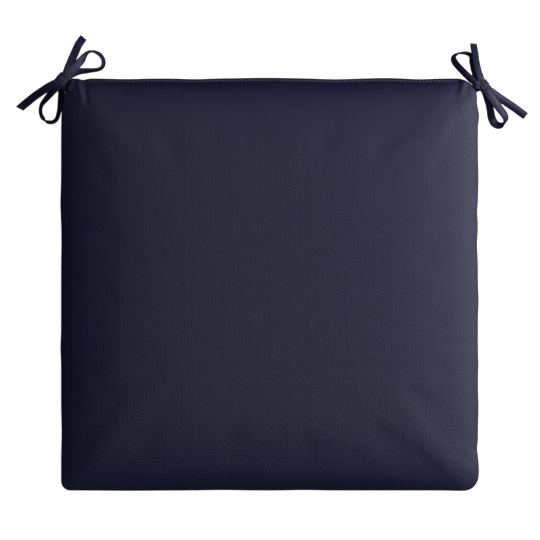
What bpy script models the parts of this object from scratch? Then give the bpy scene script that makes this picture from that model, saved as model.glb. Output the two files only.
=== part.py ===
"""Patio chair seat cushion with a bow tie at each back corner, lying face up.

Sizes are in metres and angles in degrees. The origin is the middle of the flat face that it rests on,
and +Y is the back edge.
"""

import math

import bmesh
import bpy
from mathutils import Vector

WIDTH = 0.508
DEPTH = 0.502
THICKNESS = 0.076
SEAM_HEIGHT = 0.038
HALF_WIDTH = WIDTH / 2
HALF_DEPTH = DEPTH / 2

# The ties draw the back corners in: the right one is rounder for it, and the left one is pulled over
# sideways, which dies out along both sides from the start of the corner's round.
CORNER_RADIUS = {
    "back_left": 0.0145,
    "back_right": 0.0260,
    "front_left": 0.0115,
    "front_right": 0.0165,
}
LEFT_CORNER_DRAW = 0.0060
DRAW_REACH = 0.012
# The left tie also draws out a tip: how far, and its middle and reach in degrees round from +X.
LEFT_TIP = 0.0021
LEFT_TIP_MIDDLE = 120
LEFT_TIP_REACH = 12
# Facets along the sewn edge: small round the corners and beside the ties, long elsewhere.
CORNER_STEP = 0.0021
FINE_STEP = 0.0033
FINE_REACH = 0.040
SIDE_STEP = 0.0165

# How far the sewn edge stands out from, or draws in behind, a straight side.
EDGE_PUCKERS = (
    # side, place along it, reach, how far out
    ("left", 0.098, 0.020, 0.0008),
    ("left", 0.056, 0.026, -0.0004),
    ("left", -0.077, 0.014, 0.0007),
    ("left", -0.180, 0.020, -0.0007),
    ("right", 0.222, 0.018, -0.0012),
    ("right", 0.130, 0.022, 0.0007),
    ("right", 0.088, 0.010, -0.0008),
    ("right", 0.048, 0.014, -0.0010),
    ("right", -0.020, 0.016, 0.0008),
    ("right", -0.097, 0.012, 0.0006),
    ("right", -0.150, 0.022, 0.0007),
    ("right", -0.200, 0.007, -0.0010),
    ("right", -0.226, 0.014, 0.0012),
    ("back", -0.2298, 0.006, -0.0018),
    ("back", -0.174, 0.024, -0.0007),
    ("back", -0.091, 0.020, -0.0008),
    ("back", -0.005, 0.040, 0.0009),
    ("back", 0.080, 0.024, -0.0009),
    ("back", 0.140, 0.022, 0.0006),
    ("back", 0.183, 0.018, -0.0009),
    ("front", -0.170, 0.040, 0.0004),
    ("front", -0.058, 0.026, -0.0005),
    ("front", 0.043, 0.022, -0.0005),
    ("front", 0.230, 0.014, 0.0005),
)
# The puckers die out over this share of the way in from the seam.
PUCKER_FADE = 0.10

# The crown over the face: a full shoulder, with a shallow dome in the middle.
SHOULDER_RISE = 0.0325
SHOULDER_FLATNESS = 5.0
SHOULDER_ROUNDNESS = 0.52
DOME_RISE = THICKNESS - SEAM_HEIGHT - SHOULDER_RISE
CORNER_DROP = 0.60
CORNER_SHARPNESS = 4.0
# The rings of the face are rounder towards its middle.
MIDDLE_SQUARENESS = 3.2
ROUNDING_REACH = 0.45
FACE_RINGS = (
    *(0.992, 0.983, 0.968, 0.945, 0.915, 0.880, 0.835),
    *(0.775, 0.700, 0.605, 0.490, 0.350, 0.190),
)

# The underside rolls in from the seam to the flat that it rests on.
UNDER_RINGS = (
    # share of the way out, share of the seam's height
    (0.992, 0.900),
    (0.983, 0.790),
    (0.962, 0.560),
    (0.932, 0.330),
    (0.900, 0.160),
    (0.865, 0.050),
    (0.830, 0.000),
)

# The topstitched lip of the back edge, which fades out towards its ends and towards the middle.
LIP_WIDTH = 0.0042
LIP_HALF_THICKNESS = 0.0013
LIP_HALF_LENGTH = 0.222
LIP_FADE = 0.016
LIP_FADES_FROM = 0.70
LIP_FULL_FROM = 0.95

# Gathers that run in over the face from the two ties.
GATHERS = (
    # start x, start y, end x, end y, half width, rise
    (-0.2415, 0.2480, -0.2455, 0.2360, 0.0030, 0.0009),
    (-0.2365, 0.2485, -0.2390, 0.2370, 0.0028, -0.0009),
    (-0.2315, 0.2480, -0.2266, 0.2190, 0.0036, 0.0019),
    (-0.2264, 0.2485, -0.2228, 0.2230, 0.0032, -0.0015),
    (-0.2150, 0.2340, -0.2110, 0.2230, 0.0070, 0.0008),
    (0.2312, 0.2480, 0.2288, 0.2360, 0.0032, -0.0016),
    (0.2368, 0.2465, 0.2350, 0.2360, 0.0032, 0.0015),
    (0.2455, 0.2370, 0.2480, 0.2190, 0.0034, 0.0013),
)
# A gather starts this far in from the seam, and loses this share of its rise by its inner end.
GATHER_START = 0.0018
GATHER_LOSS = 0.60
SHARP_FOLD = 60

TAPE_THICKNESS = 0.0020
TAPE_STEP = 0.0042
TAPE_EDGE_FOLD = 40
# The left side tail's end is cut at a slant: this far ahead on the right, for each width across.
END_SLANTS = {"tie_left_side_tail": 0.35}

# Each tie is one tape caught in the corner seam and tied in a bow. A lean of 0 is flat and 90 is on
# edge, and a positive lean raises the side that is on the right on the way from the knot. The knot
# gathers the tape, which is 9.5 mm wide where it is free. A root and its folds run from the corner's
# seam into the knot.
LEFT_KNOT = {"place": (-0.2522, 0.2496, 0.0356), "turn": 49.0, "size": (0.0120, 0.0148, 0.0104)}
LEFT_TAPES = {
    "root_fold": (
        # x, y, z, lean, width
        (-0.2506, 0.2366, 0.0384, 30, 0.0038),
        (-0.2503, 0.2390, 0.0394, 20, 0.0044),
        (-0.2508, 0.2422, 0.0384, 8, 0.0054),
        (-0.2516, 0.2466, 0.0372, 0, 0.0070),
    ),
    "root": (
        (-0.2469, 0.2395, 0.0318, 0, 0.0120),
        (-0.2493, 0.2416, 0.0317, 0, 0.0120),
        (-0.2505, 0.2456, 0.0323, 0, 0.0116),
        (-0.2514, 0.2494, 0.0340, 0, 0.0106),
    ),
    "upper_tail": (
        (-0.2507, 0.2534, 0.0377, 4, 0.0046),
        (-0.2495, 0.2585, 0.0374, 10, 0.0046),
        (-0.2461, 0.2659, 0.0348, 6, 0.0064),
        (-0.2422, 0.2722, 0.0305, -6, 0.0090),
        (-0.2383, 0.2813, 0.0228, -10, 0.0095),
        (-0.2342, 0.2918, 0.0128, -10, 0.0095),
        (-0.2312, 0.2972, 0.0070, -6, 0.0095),
        (-0.2294, 0.3002, 0.0022, 0, 0.0095),
        (-0.2275, 0.3026, 0.0014, 6, 0.0093),
    ),
    "upper_loop": (
        (-0.2509, 0.2510, 0.0362, 0, 0.0080),
        (-0.2459, 0.2576, 0.0359, -6, 0.0086),
        (-0.2399, 0.2630, 0.0341, -12, 0.0094),
        (-0.2330, 0.2696, 0.0296, -20, 0.0095),
        (-0.2290, 0.2740, 0.0257, -36, 0.0095),
        (-0.2246, 0.2800, 0.0200, -62, 0.0095),
        (-0.2199, 0.2841, 0.0146, -86, 0.0095),
        (-0.2139, 0.2843, 0.0102, -104, 0.0095),
        (-0.2079, 0.2815, 0.0074, -110, 0.0095),
        (-0.2039, 0.2764, 0.0060, -110, 0.0095),
        (-0.2030, 0.2711, 0.0058, -110, 0.0095),
        (-0.2048, 0.2661, 0.0068, -108, 0.0095),
        (-0.2103, 0.2628, 0.0094, -108, 0.0095),
        (-0.2218, 0.2611, 0.0164, -116, 0.0095),
        (-0.2325, 0.2598, 0.0236, -132, 0.0093),
        (-0.2420, 0.2559, 0.0308, -160, 0.0084),
        (-0.2484, 0.2513, 0.0340, -175, 0.0080),
    ),
    "side_tail": (
        (-0.2546, 0.2488, 0.0375, 0, 0.0085),
        (-0.2595, 0.2456, 0.0371, 6, 0.0092),
        (-0.2680, 0.2414, 0.0334, 14, 0.0095),
        (-0.2758, 0.2369, 0.0280, 18, 0.0095),
        (-0.2821, 0.2330, 0.0224, 18, 0.0095),
        (-0.2886, 0.2288, 0.0156, 14, 0.0095),
        (-0.2952, 0.2239, 0.0089, 10, 0.0095),
        (-0.3012, 0.2195, 0.0030, 6, 0.0095),
        (-0.3060, 0.2153, 0.0011, 4, 0.0095),
    ),
    "side_loop": (
        (-0.2526, 0.2476, 0.0359, 0, 0.0080),
        (-0.2581, 0.2416, 0.0349, -12, 0.0084),
        (-0.2632, 0.2368, 0.0318, -28, 0.0090),
        (-0.2682, 0.2316, 0.0270, -42, 0.0095),
        (-0.2739, 0.2255, 0.0207, -54, 0.0095),
        (-0.2780, 0.2205, 0.0158, -62, 0.0095),
        (-0.2800, 0.2146, 0.0110, -66, 0.0095),
        (-0.2797, 0.2086, 0.0079, -68, 0.0095),
        (-0.2770, 0.2030, 0.0062, -72, 0.0095),
        (-0.2721, 0.1991, 0.0060, -106, 0.0095),
        (-0.2655, 0.1988, 0.0060, -112, 0.0095),
        (-0.2606, 0.2026, 0.0074, -116, 0.0095),
        (-0.2577, 0.2107, 0.0109, -120, 0.0095),
        (-0.2557, 0.2210, 0.0175, -128, 0.0095),
        (-0.2544, 0.2307, 0.0246, -136, 0.0092),
        (-0.2536, 0.2379, 0.0296, -156, 0.0086),
        (-0.2518, 0.2449, 0.0332, -172, 0.0080),
    ),
}
RIGHT_KNOT = {"place": (0.2612, 0.2416, 0.0344), "turn": -57.0, "size": (0.0112, 0.0140, 0.0104)}
RIGHT_TAPES = {
    "root_edge": (
        (0.2474, 0.2445, 0.0386, 30, 0.0046),
        (0.2502, 0.2460, 0.0396, 36, 0.0052),
        (0.2538, 0.2454, 0.0386, 30, 0.0056),
        (0.2583, 0.2425, 0.0366, 10, 0.0062),
    ),
    "root_fold": (
        (0.2504, 0.2402, 0.0384, 8, 0.0049),
        (0.2527, 0.2411, 0.0386, 6, 0.0052),
        (0.2558, 0.2408, 0.0378, 2, 0.0060),
        (0.2593, 0.2405, 0.0364, 0, 0.0074),
    ),
    "root": (
        (0.2492, 0.2386, 0.0304, 0, 0.0104),
        (0.2528, 0.2401, 0.0310, 0, 0.0100),
        (0.2564, 0.2407, 0.0322, 0, 0.0090),
        (0.2599, 0.2410, 0.0330, 0, 0.0080),
    ),
    "upper_tail": (
        (0.2603, 0.2436, 0.0357, -5, 0.0080),
        (0.2583, 0.2491, 0.0358, -18, 0.0084),
        (0.2546, 0.2604, 0.0329, -32, 0.0092),
        (0.2526, 0.2707, 0.0267, -34, 0.0095),
        (0.2517, 0.2803, 0.0178, -34, 0.0095),
        (0.2510, 0.2875, 0.0103, -34, 0.0095),
        (0.2506, 0.2914, 0.0046, -34, 0.0095),
        (0.2503, 0.2949, 0.0032, -34, 0.0095),
    ),
    "upper_loop": (
        (0.2586, 0.2429, 0.0345, 5, 0.0080),
        (0.2485, 0.2474, 0.0348, 28, 0.0086),
        (0.2383, 0.2566, 0.0326, 44, 0.0095),
        (0.2297, 0.2661, 0.0247, 50, 0.0095),
        (0.2251, 0.2733, 0.0171, 57, 0.0095),
        (0.2251, 0.2786, 0.0123, 70, 0.0095),
        (0.2297, 0.2824, 0.0084, 84, 0.0095),
        (0.2366, 0.2834, 0.0064, 98, 0.0095),
        (0.2425, 0.2824, 0.0060, 106, 0.0095),
        (0.2461, 0.2793, 0.0071, 110, 0.0095),
        (0.2472, 0.2725, 0.0115, 118, 0.0095),
        (0.2488, 0.2632, 0.0192, 122, 0.0095),
        (0.2514, 0.2538, 0.0279, 136, 0.0092),
        (0.2551, 0.2478, 0.0316, 162, 0.0082),
        (0.2592, 0.2429, 0.0320, 177, 0.0080),
    ),
    "side_tail": (
        (0.2638, 0.2395, 0.0326, 5, 0.0080),
        (0.2702, 0.2356, 0.0315, 4, 0.0086),
        (0.2802, 0.2282, 0.0260, -6, 0.0094),
        (0.2904, 0.2217, 0.0185, -14, 0.0095),
        (0.2990, 0.2163, 0.0116, -18, 0.0095),
        (0.3054, 0.2118, 0.0070, -20, 0.0095),
        (0.3097, 0.2090, 0.0028, -18, 0.0095),
        (0.3138, 0.2060, 0.0022, -16, 0.0092),
    ),
    "side_loop": (
        (0.2620, 0.2386, 0.0357, 0, 0.0080),
        (0.2656, 0.2340, 0.0361, 4, 0.0086),
        (0.2706, 0.2279, 0.0351, 10, 0.0094),
        (0.2768, 0.2198, 0.0312, 16, 0.0095),
        (0.2824, 0.2129, 0.0262, 22, 0.0095),
        (0.2871, 0.2074, 0.0210, 34, 0.0095),
        (0.2892, 0.2029, 0.0165, 54, 0.0095),
        (0.2885, 0.1986, 0.0125, 82, 0.0095),
        (0.2849, 0.1953, 0.0093, 120, 0.0095),
        (0.2799, 0.1949, 0.0070, 144, 0.0095),
        (0.2751, 0.1979, 0.0056, 170, 0.0095),
        (0.2718, 0.2042, 0.0068, 196, 0.0095),
        (0.2698, 0.2128, 0.0134, 212, 0.0095),
        (0.2675, 0.2216, 0.0212, 218, 0.0095),
        (0.2648, 0.2291, 0.0282, 214, 0.0092),
        (0.2629, 0.2344, 0.0314, 200, 0.0084),
        (0.2614, 0.2390, 0.0329, 188, 0.0080),
    ),
}
KNOT_SQUARENESS = 3.2
KNOT_SEGMENTS = 16
KNOT_RINGS = 10

CANVAS_COLOUR = (0.010, 0.011, 0.026, 1.0)
CANVAS_ROUGHNESS = 0.80


def clear_scene():
    for found in list(bpy.data.objects):
        bpy.data.objects.remove(found)


def canvas(name):
    material = bpy.data.materials.new(name)
    material.use_nodes = True
    shader = material.node_tree.nodes["Principled BSDF"]
    shader.inputs["Base Color"].default_value = CANVAS_COLOUR
    shader.inputs["Roughness"].default_value = CANVAS_ROUGHNESS
    shader.inputs["Metallic"].default_value = 0.0
    return material


def bell(offset, reach):
    """1 at no offset, and next to nothing two reaches away."""
    return math.exp(-((offset / reach) ** 2))


def smooth_step(value):
    value = min(1.0, max(0.0, value))
    return value * value * (3 - 2 * value)


def evenly(start, end, step):
    """Places from start up to, but without, the end, about a step apart."""
    count = round((end - start) / step)
    return [start + (end - start) * i / count for i in range(count)]


def side_places(low, high, fine_low, fine_high):
    """Places along a side from low to high, closer together near a back corner."""
    start = low + FINE_REACH if fine_low else low
    end = high - FINE_REACH if fine_high else high
    return [
        *evenly(low, start, FINE_STEP),
        *evenly(start, end, SIDE_STEP),
        *evenly(end, high, FINE_STEP),
        high,
    ]


def pucker(side, place):
    """How far the sewn edge stands out from a straight side here."""
    return sum(
        out * bell(place - centre, reach)
        for on, centre, reach, out in EDGE_PUCKERS
        if on == side
    )


def corner_draw(before_round):
    """How far the left tie draws the edge to the right, this far before the corner's round."""
    return Vector((LEFT_CORNER_DRAW * math.exp(-before_round / DRAW_REACH), 0))


def corner_tip(round_from_x):
    """How far the left tie draws the edge out at this angle of the corner's round."""
    return LEFT_TIP * bell(round_from_x - LEFT_TIP_MIDDLE, LEFT_TIP_REACH)


def seam_outline():
    """The sewn edge from above, anticlockwise from the front right: (place, how far it is pulled)."""
    radius = CORNER_RADIUS
    outline = []

    def corner(name, x_sign, y_sign, start):
        r = radius[name]
        centre = Vector((x_sign * (HALF_WIDTH - r), y_sign * (HALF_DEPTH - r)))
        pull = corner_draw(0.0) if name == "back_left" else Vector((0, 0))
        steps = round(math.radians(90) * r / CORNER_STEP)
        for step in range(1, steps):
            round_from_x = start + 90 * step / steps
            turn = math.radians(round_from_x)
            outward = Vector((math.cos(turn), math.sin(turn)))
            tip = corner_tip(round_from_x) if name == "back_left" else 0.0
            outline.append((centre + r * outward, pull + tip * outward))

    def side(name, places, point_at, out):
        for place in places:
            pull = pucker(name, place) * out
            if name == "left":
                pull += corner_draw(HALF_DEPTH - radius["back_left"] - place)
            if name == "back":
                pull += corner_draw(HALF_WIDTH - radius["back_left"] + place)
            outline.append((point_at(place), pull))

    right = side_places(
        radius["front_right"] - HALF_DEPTH, HALF_DEPTH - radius["back_right"], False, True
    )
    back = side_places(
        radius["back_left"] - HALF_WIDTH, HALF_WIDTH - radius["back_right"], True, True
    )
    left = side_places(
        radius["front_left"] - HALF_DEPTH, HALF_DEPTH - radius["back_left"], False, True
    )
    front = side_places(
        radius["front_left"] - HALF_WIDTH, HALF_WIDTH - radius["front_right"], False, False
    )
    side("right", right, lambda y: Vector((HALF_WIDTH, y)), Vector((1, 0)))
    corner("back_right", 1, 1, 0)
    side("back", back[::-1], lambda x: Vector((x, HALF_DEPTH)), Vector((0, 1)))
    corner("back_left", -1, 1, 90)
    side("left", left[::-1], lambda y: Vector((-HALF_WIDTH, y)), Vector((-1, 0)))
    corner("front_left", -1, -1, 180)
    side("front", front, lambda x: Vector((x, -HALF_DEPTH)), Vector((0, -1)))
    corner("front_right", 1, -1, 270)
    return outline


def rounder(place, rounding):
    """A place on the outline, drawn in towards a rounder shape at the corners."""
    across, deep = abs(place.x) / HALF_WIDTH, abs(place.y) / HALF_DEPTH
    reach = (across**MIDDLE_SQUARENESS + deep**MIDDLE_SQUARENESS) ** (1 / MIDDLE_SQUARENESS)
    return place * (1 - rounding + rounding / max(reach, 1.0))


def gather_rise(x, y):
    """How far the gathers lift or sink the face here."""
    rise = 0.0
    for start_x, start_y, end_x, end_y, half_width, height in GATHERS:
        start = Vector((start_x, start_y))
        along = Vector((end_x, end_y)) - start
        share = (Vector((x, y)) - start).dot(along) / along.length_squared
        held = min(1.0, max(0.0, share))
        distance = (Vector((x, y)) - start - held * along).length
        rise += height * bell(distance, half_width) * (1 - GATHER_LOSS * held)
    return rise


def past_lip(share, x, y):
    """The share of the way out, measured from the back lip's stitching instead of the edge."""
    along = smooth_step((LIP_HALF_LENGTH + LIP_FADE - abs(x)) / LIP_FADE)
    back = smooth_step((y / HALF_DEPTH - LIP_FADES_FROM) / (LIP_FULL_FROM - LIP_FADES_FROM))
    return min(1.0, share + along * back * LIP_WIDTH / HALF_DEPTH)


def face_height(share, x, y):
    """The height of the crowned face on the ring at this share of the way out."""
    out = past_lip(share, x, y)
    shoulder = SHOULDER_RISE * (1 - out**SHOULDER_FLATNESS) ** SHOULDER_ROUNDNESS
    corner = (abs(x) / HALF_WIDTH * abs(y) / HALF_DEPTH) ** CORNER_SHARPNESS
    height = shoulder * (1 - CORNER_DROP * corner) + DOME_RISE * (1 - out * out)
    lip = LIP_HALF_THICKNESS * min(1.0, (1 - share) * HALF_DEPTH / LIP_HALF_THICKNESS)
    fade = smooth_step((1 - share) * HALF_DEPTH / GATHER_START)
    return SEAM_HEIGHT + max(height, lip) + gather_rise(x, y) * fade


def under_height(share, height_share, x, y):
    """The height of the underside, which comes up to the lip along the back edge."""
    lift = (past_lip(share, x, y) - share) / (1 - share)
    level = height_share + (1 - height_share) * height_share * lift
    return SEAM_HEIGHT * min(level, 1 - LIP_HALF_THICKNESS / SEAM_HEIGHT)


def build_cushion():
    """The filled cover: rings lofted up from the seam to the crown and down to the flat."""
    mesh = bmesh.new()
    outline = seam_outline()

    def ring(share, height_at):
        keep = max(0.0, 1 - (1 - share) / PUCKER_FADE)
        rounding = smooth_step((1 - share) / ROUNDING_REACH)
        made = []
        for place, out in outline:
            x, y = share * rounder(place, rounding) + keep * out
            made.append(mesh.verts.new((x, y, height_at(x, y))))
        return made

    def join(lower, upper):
        for i in range(len(lower)):
            j = (i + 1) % len(lower)
            mesh.faces.new((lower[i], lower[j], upper[j], upper[i]))

    seam = ring(1.0, lambda x, y: SEAM_HEIGHT)
    below = seam
    for share in FACE_RINGS:
        above = ring(share, lambda x, y, s=share: face_height(s, x, y))
        join(below, above)
        below = above
    mesh.faces.new(below)
    above = seam
    for share, height_share in UNDER_RINGS:
        below = ring(share, lambda x, y, s=share, h=height_share: under_height(s, h, x, y))
        join(below, above)
        above = below
    mesh.faces.new(above[::-1])
    return finished("cushion", mesh, SHARP_FOLD)


def finished(name, mesh, sharp_fold):
    """An object of this mesh, shaded smooth but for folds sharper than this."""
    data = bpy.data.meshes.new(name)
    mesh.to_mesh(data)
    mesh.free()
    data.shade_smooth()
    data.set_sharp_from_angle(angle=math.radians(sharp_fold))
    data.materials.append(canvas(name + "_canvas"))
    made = bpy.data.objects.new(name, data)
    bpy.context.scene.collection.objects.link(made)
    return made


def smooth_route(rows):
    """Places, leans and widths about every TAPE_STEP along a smooth curve through the rows."""
    points = [Vector(row) for row in rows]
    points = [2 * points[0] - points[1], *points, 2 * points[-1] - points[-2]]
    route = []
    for i in range(1, len(points) - 2):
        span = (points[i + 1] - points[i])[:3]
        steps = max(1, round(Vector(span).length / TAPE_STEP))
        route += [curve_point(*points[i - 1 : i + 3], step / steps) for step in range(steps)]
    return [*route, points[-2]]


def curve_point(before, start, end, after, t):
    """The point of a Catmull-Rom curve at t from 0, start, to 1, end."""
    return 0.5 * (
        2 * start
        + (end - before) * t
        + (2 * before - 5 * start + 4 * end - after) * t**2
        + (3 * start - before - 3 * end + after) * t**3
    )


def tape(name, rows):
    """A flat tape swept along the rows' route, hidden because a tie's knot takes it in."""
    route = smooth_route(rows)
    mesh = bmesh.new()
    sections = []
    for i, (*place, lean, width) in enumerate(route):
        before = Vector(route[max(0, i - 1)][:3])
        after = Vector(route[min(len(route) - 1, i + 1)][:3])
        ahead = (after - before).normalized()
        level = ahead.cross(Vector((0, 0, 1))).normalized()
        upward = level.cross(ahead)
        turn = math.radians(lean)
        across = level * math.cos(turn) + upward * math.sin(turn)
        slant = END_SLANTS.get(name, 0.0) if i == len(route) - 1 else 0.0
        half = (across + slant * ahead) * width / 2
        thick = across.cross(ahead) * TAPE_THICKNESS / 2
        corners = (half + thick, thick - half, -half - thick, half - thick)
        sections.append([mesh.verts.new(Vector(place) + corner) for corner in corners])
    for near, far in zip(sections, sections[1:]):
        for i in range(4):
            j = (i + 1) % 4
            mesh.faces.new((near[i], near[j], far[j], far[i]))
    mesh.faces.new(sections[0][::-1])
    mesh.faces.new(sections[-1])
    bmesh.ops.recalc_face_normals(mesh, faces=mesh.faces)
    made = finished(name, mesh, TAPE_EDGE_FOLD)
    made.hide_render = True
    made.display_type = "WIRE"
    return made


def knot(name, place, turn, size):
    """The wrapped knot: a ball squared off on all sides."""
    mesh = bmesh.new()
    bmesh.ops.create_uvsphere(
        mesh, u_segments=KNOT_SEGMENTS, v_segments=KNOT_RINGS, radius=1.0
    )
    for vertex in mesh.verts:
        lengths = sum(abs(c) ** KNOT_SQUARENESS for c in vertex.co)
        vertex.co /= lengths ** (1 / KNOT_SQUARENESS)
        vertex.co = Vector([c * s / 2 for c, s in zip(vertex.co, size)])
    made = finished(name, mesh, SHARP_FOLD)
    made.location = place
    made.rotation_euler.z = math.radians(turn)
    return made


def build_tie(name, knot_shape, tapes):
    """A bow: the knot with its root, tails and loops joined on."""
    tie = knot(name, **knot_shape)
    for part, rows in tapes.items():
        joined = tie.modifiers.new(part, "BOOLEAN")
        joined.operation = "UNION"
        joined.solver = "EXACT"
        joined.object = tape(name + "_" + part, rows)
    return tie


clear_scene()
build_cushion()
build_tie("tie_left", LEFT_KNOT, LEFT_TAPES)
build_tie("tie_right", RIGHT_KNOT, RIGHT_TAPES)
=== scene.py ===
import math

import bmesh
import bpy
import numpy as np
from mathutils import Matrix, Vector


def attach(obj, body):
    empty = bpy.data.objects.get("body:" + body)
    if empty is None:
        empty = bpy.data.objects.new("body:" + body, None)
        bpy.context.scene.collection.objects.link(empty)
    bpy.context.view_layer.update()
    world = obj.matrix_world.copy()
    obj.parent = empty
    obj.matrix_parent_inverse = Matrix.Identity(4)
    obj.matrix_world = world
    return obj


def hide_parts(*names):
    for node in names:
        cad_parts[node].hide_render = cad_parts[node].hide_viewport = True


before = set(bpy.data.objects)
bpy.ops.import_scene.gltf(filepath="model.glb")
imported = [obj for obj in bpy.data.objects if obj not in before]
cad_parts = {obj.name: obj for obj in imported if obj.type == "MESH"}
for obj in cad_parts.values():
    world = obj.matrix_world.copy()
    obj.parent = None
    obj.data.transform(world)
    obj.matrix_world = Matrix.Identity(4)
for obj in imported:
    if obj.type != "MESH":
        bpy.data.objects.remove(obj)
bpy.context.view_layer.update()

# The cushion lies on its back, seen from straight above, with its back edge and bows at the top. The
# camera is far off, so that the low tails and the high crown are seen at nearly one scale.
SEAM_HEIGHT = 0.038
VIEW_MIDDLE = (0.0006, 0.0177)
VIEW_WIDTH = 0.6575
CAMERA_DISTANCE = 6.0
bpy.ops.object.camera_add(
    location=(*VIEW_MIDDLE, SEAM_HEIGHT + CAMERA_DISTANCE), rotation=(0, 0, 0)
)
camera = bpy.context.object
camera.name = "camera"
camera.data.sensor_width = 36
camera.data.lens = camera.data.sensor_width * CAMERA_DISTANCE / VIEW_WIDTH
bpy.context.scene.camera = camera

# Each back corner has a tie of two tapes: canvas folded lengthwise to four layers, 9.5 mm wide, and
# stitched along its open edge. Both go through one knot, and each runs round a loop, back through the
# knot and out as a tail with a square end.
TAPE_WIDTH = 0.0095
TAPE_THICKNESS = 0.0022
# A dark tape looks thinner than it is against the white table, so each is made this much wider.
TAPE_SPREAD = 1.06
TAPE_STATION = 0.0014
TAPE_SECTION = (
    # across in half widths, height in half thicknesses
    (1.000, 0.40),
    (0.985, 0.78),
    (0.930, 0.97),
    (0.840, 1.00),
    (0.740, 0.90),
    (0.680, 0.66),
    (0.620, 0.90),
    (0.500, 1.02),
    (0.250, 1.06),
    (0.000, 1.05),
    (-0.250, 1.06),
    (-0.550, 1.04),
    (-0.780, 1.00),
    (-0.910, 0.92),
    (-0.975, 0.66),
    (-1.000, 0.25),
)
SECTION_STEP = 0.0007
TAPE_EDGES_MM = 1000 * SECTION_STEP * len(TAPE_SECTION)
TIE_WRINKLE_MM = 0.10
OPEN_EDGE_DEPTH = 0.955
CUT_END_THICKNESS = 0.62
CUT_END_REACH = 0.0009
SHARP_EDGE_DEGREES = 70
SLANT_REACH = 0.006
CLEAR_OF_FLOOR = 0.0001
# A tape is fully cupped where its face looks up this much, and its lean wanders along it: by how many
# degrees, and over what length.
CUPPED_FROM = 0.5
SLOW_TWIST = 2.0
SLOW_TWIST_LENGTH = 0.011
QUICK_TWIST = 1.2
QUICK_TWIST_LENGTH = 0.0047

# Ties and cover are cut from one dyed acrylic canvas: a plain weave, dark navy and matt, with slubs
# both ways and faint reed marks. Along edges and seams its colour is painted darker: painted shade.
NAVY_DARK = (0.0024, 0.0023, 0.0098, 1)
NAVY_LIGHT = (0.0046, 0.0043, 0.0160, 1)
# The colour painted at edges and seams as painted shade, how wide that strip is on a tape, and how much
# duller the cover's strip is:
NAVY_PAINTED_EDGE_SHADE = (0.0006, 0.0005, 0.0060, 1)
PAINTED_EDGE_SHADE_MM = 1.7
PRESSED_DULLNESS = 0.45
CANVAS_ROUGHNESS = 0.45
CANVAS_SPECULAR = 0.096
YARN_PITCH_MM = 0.62
YARN_RELIEF_MM = 0.06
YARN_MIDDLE = 0.4
YARN_HOLLOW_SHADE = 0.25
YARN_SHINE = 0.06
SLUB_DETAIL = 2.0
CREASE_ACROSS_MM = 14.0
CREASE_ALONG_MM = 19.0
CREASE_DETAIL = 3.0
SLUBS = (
    # width across the yarns in mm, length along them in mm, runs down the cloth, tone, relief in mm
    (2.3, 45.0, True, 0.28, 0.130),
    (2.6, 38.0, False, 0.22, 0.120),
    (2.1, 2.1, True, 0.55, 0.480),
    (55.0, 70.0, True, 0.10, 0.0),
)
REED_MARKS = (
    # spacing in mm, runs down the cloth, tone, relief in mm
    (4.65, True, 0.06, 0.0090),
    (11.6, True, 0.05, 0.0140),
    (2.74, False, 0.06, 0.0070),
)


class ClothNodes:
    """A new material, and the nodes that describe its cloth."""

    def __init__(self, name):
        self.material = bpy.data.materials.new(name)
        self.material.use_nodes = True
        self.tree = self.material.node_tree
        self.shader = self.tree.nodes["Principled BSDF"]

    def add(self, kind, **values):
        node = self.tree.nodes.new(kind)
        for name, value in values.items():
            setattr(node, name, value)
        return node

    def join(self, source, target):
        if isinstance(source, bpy.types.NodeSocket):
            self.tree.links.new(source, target)
        else:
            target.default_value = source

    def maths(self, operation, first, second=None):
        node = self.add("ShaderNodeMath", operation=operation)
        self.join(first, node.inputs[0])
        if second is not None:
            self.join(second, node.inputs[1])
        return node.outputs[0]

    def noise(self, across, along, detail):
        place = self.add("ShaderNodeCombineXYZ")
        self.join(across, place.inputs[0])
        self.join(along, place.inputs[1])
        node = self.add("ShaderNodeTexNoise")
        node.inputs["Scale"].default_value = 1.0
        node.inputs["Detail"].default_value = detail
        self.join(place.outputs[0], node.inputs["Vector"])
        return node.outputs[0]

    def mix(self, share, bare, full):
        node = self.add("ShaderNodeMix", data_type="RGBA", clamp_factor=True)
        for source, number in ((share, 0), (bare, 6), (full, 7)):
            self.join(source, node.inputs[number])
        return node.outputs[2]

    def bump(self, height, size_mm, normal=None):
        node = self.add("ShaderNodeBump")
        node.inputs["Strength"].default_value = 1.0
        node.inputs["Distance"].default_value = size_mm / 1000
        self.join(height, node.inputs["Height"])
        if normal is not None:
            self.join(normal, node.inputs["Normal"])
        return node.outputs[0]


def plain_weave(nodes, across, along):
    """The height of the yarns: each passes over and under those that cross it."""
    yarn_x = nodes.maths("DIVIDE", across, YARN_PITCH_MM)
    yarn_y = nodes.maths("DIVIDE", along, YARN_PITCH_MM)
    round_x = nodes.maths("ABSOLUTE", nodes.maths("SINE", nodes.maths("MULTIPLY", yarn_x, math.pi)))
    round_y = nodes.maths("ABSOLUTE", nodes.maths("SINE", nodes.maths("MULTIPLY", yarn_y, math.pi)))
    squares = nodes.maths("ADD", nodes.maths("FLOOR", yarn_x), nodes.maths("FLOOR", yarn_y))
    on_top = nodes.maths("PINGPONG", squares, 1.0)
    below = nodes.maths("SUBTRACT", 1.0, on_top)
    warp = nodes.maths("MULTIPLY", nodes.maths("SQRT", round_x), round_y)
    weft = nodes.maths("MULTIPLY", nodes.maths("SQRT", round_y), round_x)
    over, under = nodes.maths("MULTIPLY", on_top, warp), nodes.maths("MULTIPLY", below, weft)
    return nodes.maths("ADD", over, under)


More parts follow.
